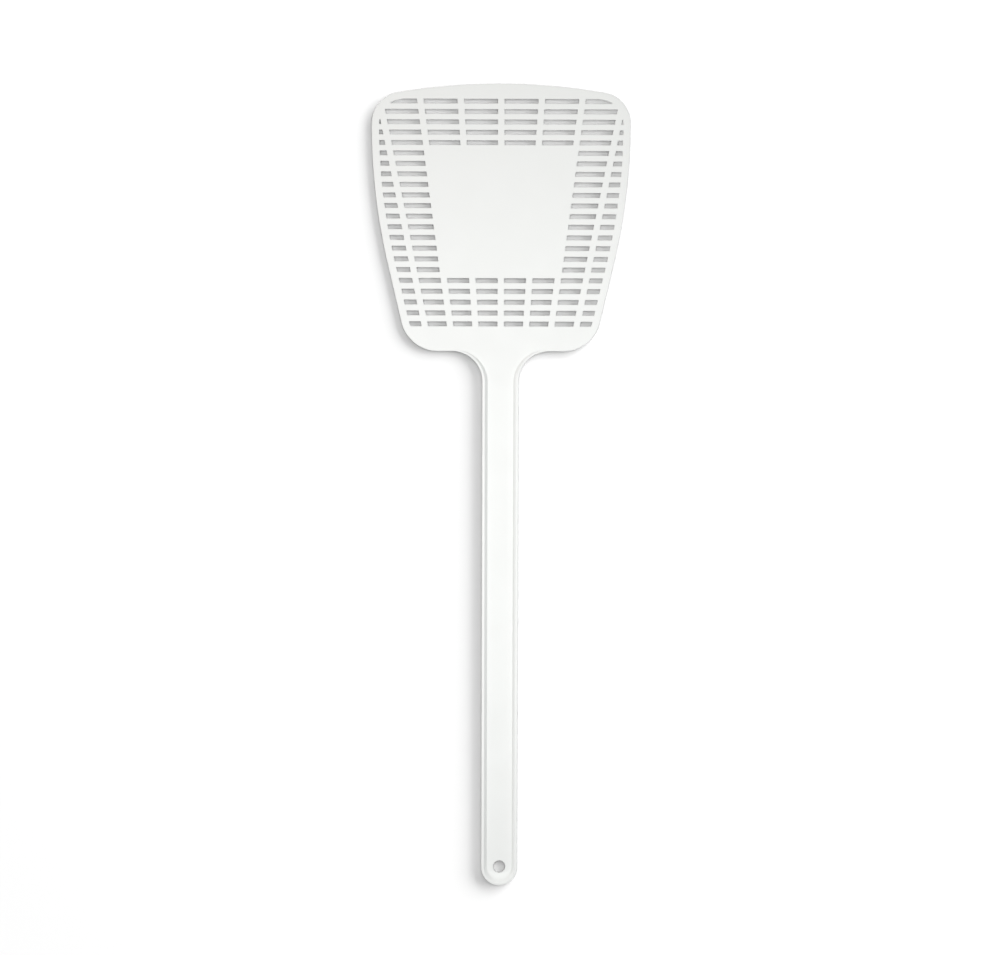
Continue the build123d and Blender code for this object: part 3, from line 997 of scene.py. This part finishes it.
# %% [markdown]
# The finishes differ only in how strongly they use the effects, because it is one shot of one resin.
# The blade and its panel have the faintest flow streaks, and the panel has the finest grain. The
# handle's web has deeper streaks, and the rails, where thick plastic flows most easily, the deepest.

# %% Finishes
LIGHT_RESIN = (0.905, 0.922, 0.906, 1)
DEEP_RESIN = (0.888, 0.905, 0.888, 1)
# The edge colour is a painted highlight, lighter than the resin itself.
PAINTED_EDGE_HIGHLIGHT = (0.965, 0.975, 0.97, 1)
SPECK_COLOUR = (0.42, 0.38, 0.3, 1)
SPECK_STRENGTH = 0.55
PLASTIC_IOR = 1.49
MICRON = 1e-6


def placed(tree, group, inputs):
    """A node group's result, with its inputs set or linked."""
    return add_node(tree, "Group", {"node_tree": group}, inputs).outputs[0]


def resin_finish(name, grain_depth, wave_depth, streak_depth, smooth, dull):
    """A finish of the one resin. The bump's height is the sum of grain, waves and streaks."""
    finish = bpy.data.materials.new(name)
    finish.use_nodes = True
    tree = finish.node_tree
    shader = tree.nodes["Principled BSDF"]
    edge = placed(tree, edges, {})
    resin = placed(tree, tone, {"Light": LIGHT_RESIN, "Deep": DEEP_RESIN})
    # Steep edges get a lighter colour: a painted highlight that stands in for light glowing through the
    # thin plastic and catching the rims.
    painted_highlight_colour = mixed_colour(tree, edge, resin, PAINTED_EDGE_HIGHLIGHT)
    speck = maths(tree, "MULTIPLY", placed(tree, specks, {}), SPECK_STRENGTH)
    specked = mixed_colour(tree, speck, painted_highlight_colour, SPECK_COLOUR)
    rough = placed(tree, gloss, {"Smooth": smooth, "Dull": dull, "Edge": edge})
    height = placed(tree, grain, {"Depth": grain_depth})
    for group, depth in ((waves, wave_depth), (streaks, streak_depth)):
        height = maths(tree, "ADD", height, placed(tree, group, {"Depth": depth}))
    bump = add_node(tree, "Bump", {}, {"Height": height, "Distance": 1.0, "Strength": 1.0})
    tree.links.new(specked, shader.inputs["Base Color"])
    tree.links.new(rough, shader.inputs["Roughness"])
    tree.links.new(bump.outputs["Normal"], shader.inputs["Normal"])
    shader.inputs["IOR"].default_value = PLASTIC_IOR
    return finish


blade_finish = resin_finish("blade_plastic", 2.0 * MICRON, 24 * MICRON, 0.3 * MICRON, 0.33, 0.4)
panel_finish = resin_finish("panel_plastic", 1.4 * MICRON, 24 * MICRON, 0.3 * MICRON, 0.32, 0.39)
web_finish = resin_finish("web_plastic", 2.0 * MICRON, 24 * MICRON, 0.8 * MICRON, 0.33, 0.4)
rail_finish = resin_finish("rail_plastic", 1.6 * MICRON, 12 * MICRON, 1.2 * MICRON, 0.3, 0.38)

for node, piece in pieces.items():
    if node == "imprint_panel":
        finish = panel_finish
    elif node.endswith("rail"):
        finish = rail_finish
    elif node in ("neck_web", "handle_web", "hang_tab"):
        finish = web_finish
    else:
        finish = blade_finish
    piece.data.materials.append(finish)
    print(node, "is finished as", finish.name)

# %% [markdown]
# ## The stage
#
# A white thing on white paper is drawn by its shadows alone, so the paper and the plastic are lit
# apart, with light linking. First comes the paper: a large matt sheet a hair below the rails.

# %% Paper
PAPER_HALF = 3.0
PAPER_GAP = 0.02 * MM
PAPER_GREY = 0.6

paper_mesh = bpy.data.meshes.new("paper")
square = ((-1, -1), (1, -1), (1, 1), (-1, 1))
paper_corners = [(x * PAPER_HALF, y * PAPER_HALF, -PAPER_GAP) for x, y in square]
paper_mesh.from_pydata(paper_corners, [], [(0, 1, 2, 3)])
paper = bpy.data.objects.new("paper", paper_mesh)
bpy.context.scene.collection.objects.link(paper)
paper_finish = bpy.data.materials.new("matt_paper")
paper_finish.use_nodes = True
paper_shader = paper_finish.node_tree.nodes["Principled BSDF"]
paper_shader.inputs["Base Color"].default_value = (PAPER_GREY, PAPER_GREY, PAPER_GREY, 1)
paper_shader.inputs["Roughness"].default_value = 1.0
paper_shader.inputs["Specular IOR Level"].default_value = 0.0
paper_mesh.materials.append(paper_finish)
print("paper:", 2 * PAPER_HALF, "m square")

# %% [markdown]
# The paper has three lamps, all metres away, so that they light it evenly up to plain white. A fill
# overhead reaches down into the slots. A broad, low key on the right draws the soft shadow on the
# left and lights the left end of each slot, and a weaker, higher one beyond the blade's top helps to
# draw the faint shadow below the handle's end. The swatter's own softbox hangs straight overhead,
# near enough to fade towards both ends. A warm panel and a warm corner lamp stand on its upper left,
# a small cool lamp beyond its right shoulder, and low strips on the left and beyond the top pick out
# the thin edges.

# %% Lamps
LAMP_DISTANCE = 6.0
WHITE = (1, 1, 1)
WARM = (1, 0.97, 0.93)
WARMER = (1, 0.72, 0.66)
COOL = (0.75, 1, 1)

paper_only = bpy.data.collections.new("paper_only")
paper_only.objects.link(paper)
swatter_only = bpy.data.collections.new("swatter_only")
for piece in pieces.values():
    swatter_only.objects.link(piece)


def far_off(turn, height):
    """A lamp's place from its turn round from the right and its height above the paper, both in
    degrees."""
    across = LAMP_DISTANCE * cos(radians(height))
    up = LAMP_DISTANCE * sin(radians(height))
    return (across * cos(radians(turn)), across * sin(radians(turn)), up)


def softbox(name, receivers, place, size, radiance, colour):
    """A rectangular lamp turned towards the origin, that lights only its receivers. Its power is
    radiance * pi * area."""
    lamp = bpy.data.lights.new(name, "AREA")
    lamp.shape = "RECTANGLE"
    lamp.size, lamp.size_y = size
    lamp.energy = radiance * pi * size[0] * size[1]
    lamp.color = colour
    holder = bpy.data.objects.new(name, lamp)
    holder.location = place
    holder.rotation_euler = (-Vector(place)).to_track_quat("-Z", "Y").to_euler()
    holder.light_linking.receiver_collection = receivers
    holder.visible_camera = False
    bpy.context.scene.collection.objects.link(holder)
    print(name, "lights", receivers.name)


softbox("paper_fill", paper_only, (0, 0, 2.5), (1.5, 1.5), 5.5, WHITE)
softbox("paper_side_key", paper_only, far_off(28, 30), (8, 4.4), 7.5, WHITE)
softbox("paper_top_key", paper_only, far_off(90, 60), (4.4, 4.4), 1.5, WHITE)
softbox("overhead", swatter_only, (0, -0.03, 0.63), (0.46, 0.46), 4.82, WHITE)
softbox("warm_left", swatter_only, (-0.75, 0.2, 0.45), (0.3, 0.9), 0.55, WARM)
softbox("low_left", swatter_only, (-1.0, 0, 0.055), (1.2, 0.05), 8, WHITE)
softbox("low_back", swatter_only, (0, 1.2, 0.33), (1.2, 0.2), 1.8, WHITE)
softbox("warm_corner", swatter_only, (-0.25, 0.5, 0.3), (0.2, 0.2), 2.0, WARMER)
softbox("cool_corner", swatter_only, (0.09, 0.3, 0.63), (0.12, 0.12), 2.0, COOL)

# %% [markdown]
# A dim white world stands for the light that bounces off the room's walls. It keeps the edges that
# no lamp faces from going dark.

# %% World
WORLD_STRENGTH = 0.17

studio = bpy.data.worlds.new("studio")
studio.use_nodes = True
studio_light = studio.node_tree.nodes["Background"]
studio_light.inputs["Color"].default_value = (1, 1, 1, 1)
studio_light.inputs["Strength"].default_value = WORLD_STRENGTH
bpy.context.scene.world = studio
bpy.context.scene.view_settings.view_transform = "Standard"

# %% [markdown]
# ## The camera
#
# The swatter lies flat and is seen from straight above, through a long lens, so that the rails'
# walls hardly lean. The distance follows from the lens: frame width * lens / sensor width. The
# swatter doesn't lie quite true in the frame, so the camera is shifted and rolled by a hair.

# %% Camera
LENS = 120.0
SENSOR = 36.0
FRAME_WIDTH = 0.5156
CAMERA_SHIFT = (-0.15 * MM, 3.5 * MM)
CAMERA_ROLL = radians(0.17)
CLIP_END = 20.0

camera_data = bpy.data.cameras.new("camera")
camera_data.lens = LENS
camera_data.sensor_width = SENSOR
camera_data.clip_end = CLIP_END
camera = bpy.data.objects.new("camera", camera_data)
camera.location = (*CAMERA_SHIFT, FRAME_WIDTH * LENS / SENSOR)
camera.rotation_euler = (0, 0, CAMERA_ROLL)
bpy.context.scene.collection.objects.link(camera)
bpy.context.scene.camera = camera
print("camera height:", round(camera.location.z, 3))
